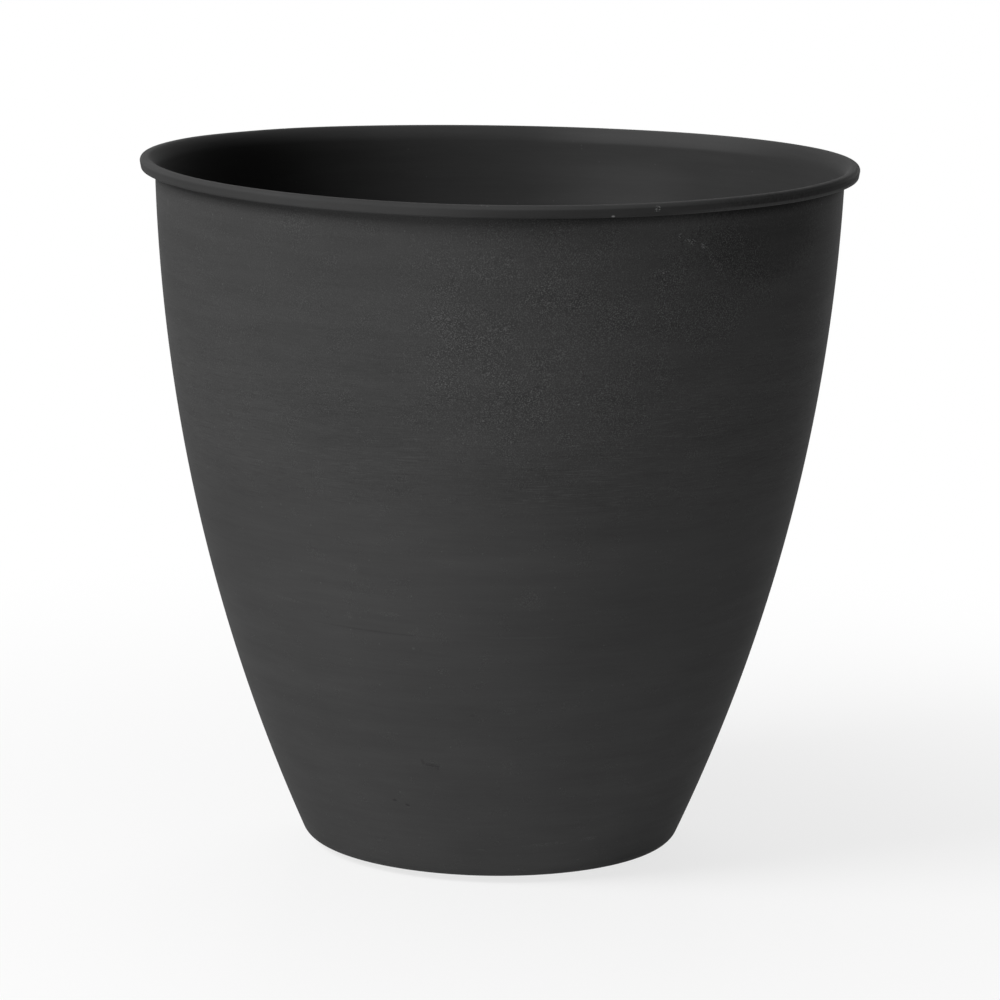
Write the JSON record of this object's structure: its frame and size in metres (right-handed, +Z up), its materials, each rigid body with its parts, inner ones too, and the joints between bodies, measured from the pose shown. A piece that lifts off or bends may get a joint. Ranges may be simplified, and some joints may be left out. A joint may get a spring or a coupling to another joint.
{
  "type": "planter",
  "caption": "Round free-standing metal planter: a tapered spun-steel pot with a rolled rim, a pressed base pan, a removable drain plug and rubber feet.",
  "frame": {"origin": "on the floor under the middle of the pot, in the plane of the pads' undersides", "axes": "+Z up along the pot's axis; the side in the picture faces -Y"},
  "size_m": [0.3199, 0.32, 0.311],
  "materials": {
    "charcoal_paint": "matt charcoal paint brushed round the pot over spun sheet steel",
    "wire_steel": "drawn galvanised wire",
    "plug_rubber": "moulded matt black rubber",
    "pad_rubber": "cut dark grey rubber"
  },
  "bodies": {
    "planter": {"wall_shell": "charcoal_paint", "rim_wire": "wire_steel", "base_pan": "charcoal_paint", "foot_pad_1": "pad_rubber", "foot_pad_2": "pad_rubber", "foot_pad_3": "pad_rubber", "foot_pad_4": "pad_rubber"},
    "plug": {"drain_plug": "plug_rubber"}
  },
  "joints": [
    {"name": "plug_pull", "type": "slide", "parent": "planter", "child": "plug", "axis": [0, 0, 1], "range_m": [0, 0.33]}
  ]
}
